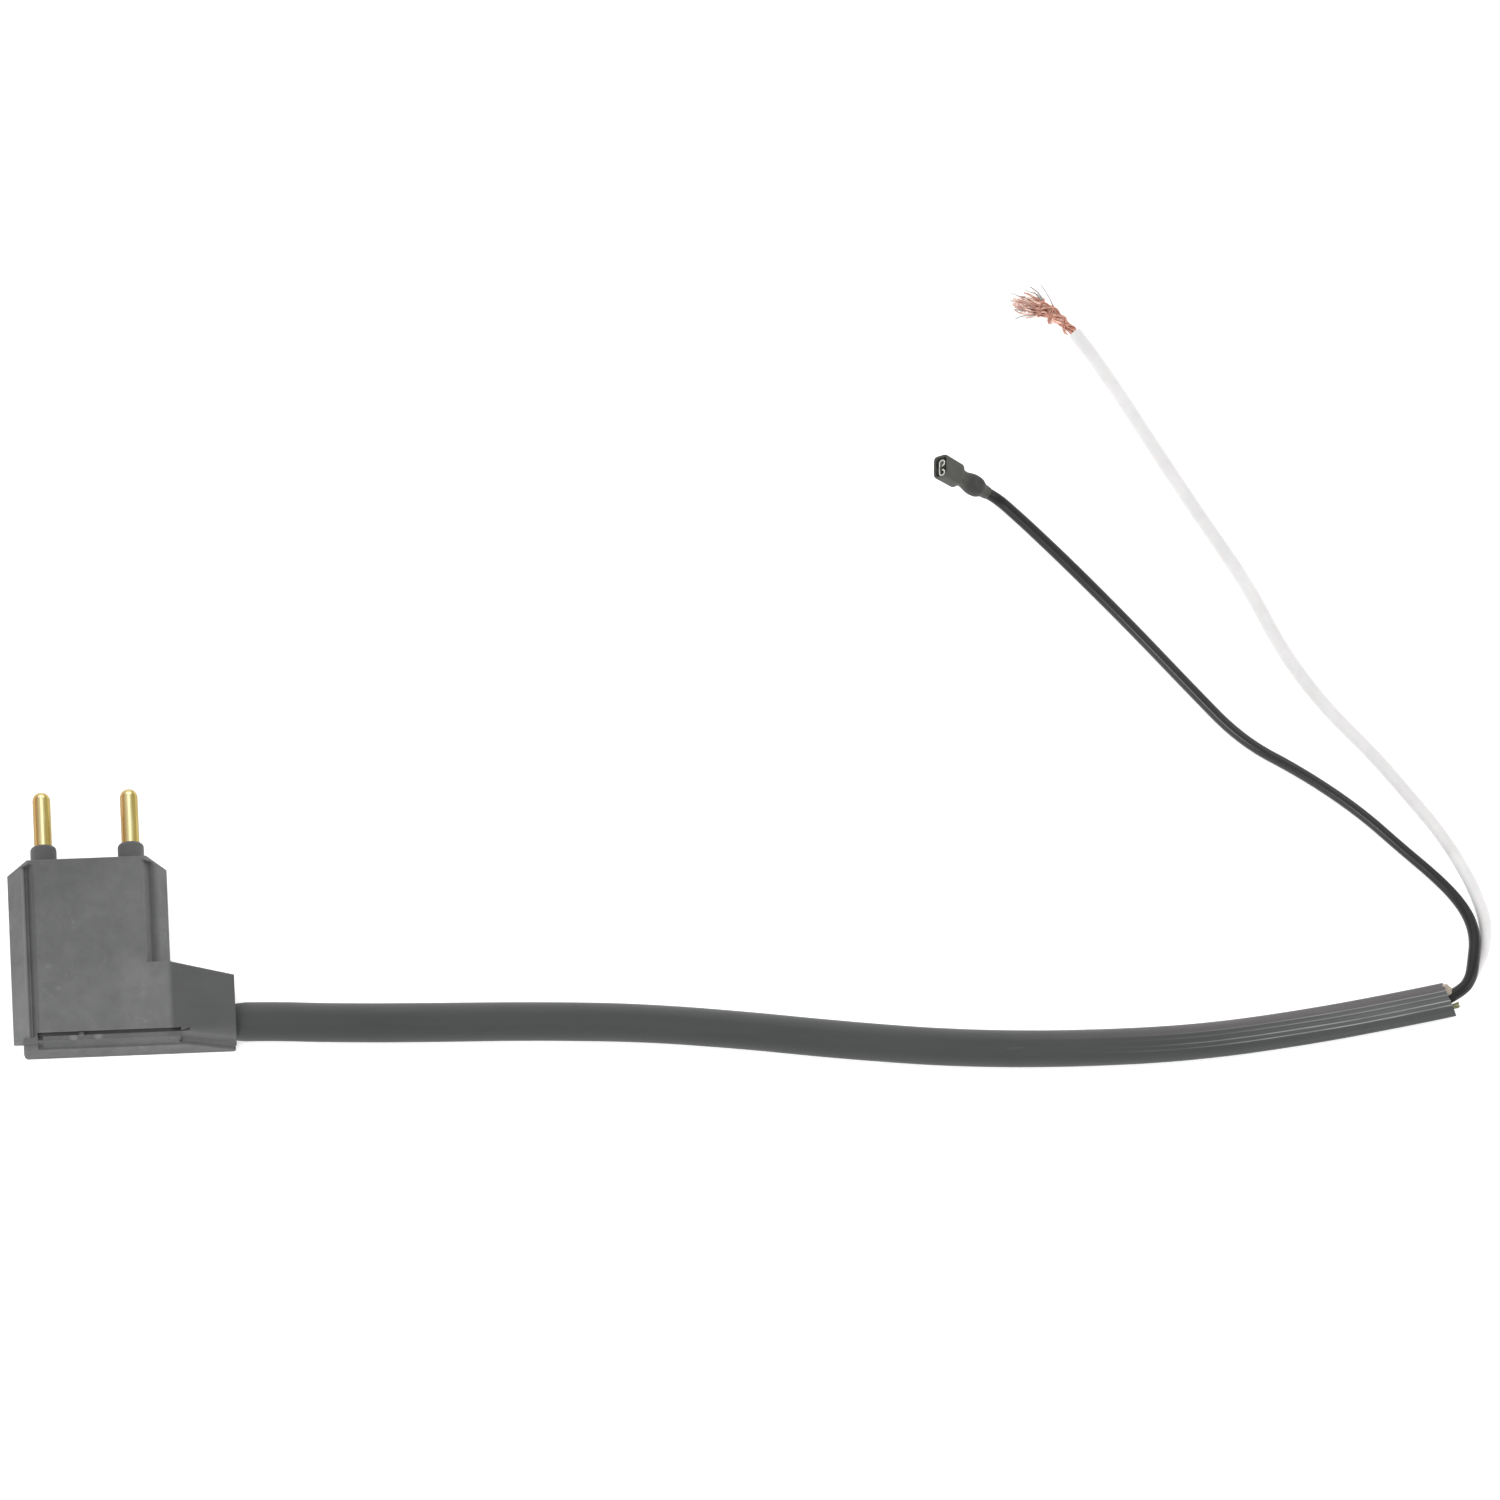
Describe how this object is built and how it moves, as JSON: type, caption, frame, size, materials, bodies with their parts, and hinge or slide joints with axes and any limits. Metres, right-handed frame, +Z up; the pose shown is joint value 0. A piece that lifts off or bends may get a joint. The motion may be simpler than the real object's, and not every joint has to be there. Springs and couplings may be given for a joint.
{
  "type": "power cord",
  "caption": "Short mains lead with a flat right-angle two-pin plug, grey sheath, one lead ending in a sleeved blade receptacle and one in bare copper strands.",
  "frame": {"origin": "middle of the plug's footprint, on the surface that the cord lies on", "axes": "+Y the way the pins point, +X the way the cord leaves the plug, +Z up from the surface"},
  "size_m": [0.3251, 0.1808, 0.0135],
  "materials": {
    "plug_grey": "satin moulded",
    "cover_grey": "satin moulded",
    "pin_brass": "drawn, bright",
    "screw_steel": "zinc plated",
    "grip_nylon": "moulded",
    "sheath_grey": "satin extruded",
    "lead_black": "satin extruded",
    "lead_white": "satin extruded",
    "filler_beige": "spun yarn",
    "filler_green": "spun yarn",
    "copper": "bare drawn copper",
    "sleeve_olive": "satin moulded",
    "tinned": "tinned"
  },
  "bodies": {
    "root": {"plug_shell": "plug_grey", "rear_cover": "cover_grey", "pin_left": "pin_brass", "pin_right": "pin_brass", "terminal_screws": "screw_steel", "cord_grip": "grip_nylon", "black_core_tail": "lead_black", "white_core_tail": "lead_white", "sheath": "sheath_grey", "black_lead": "lead_black", "white_lead": "lead_white", "beige_filler": "filler_beige", "green_filler": "filler_green", "copper_strands": "copper", "terminal_sleeve": "sleeve_olive", "receptacle": "tinned"}
  },
  "joints": []
}
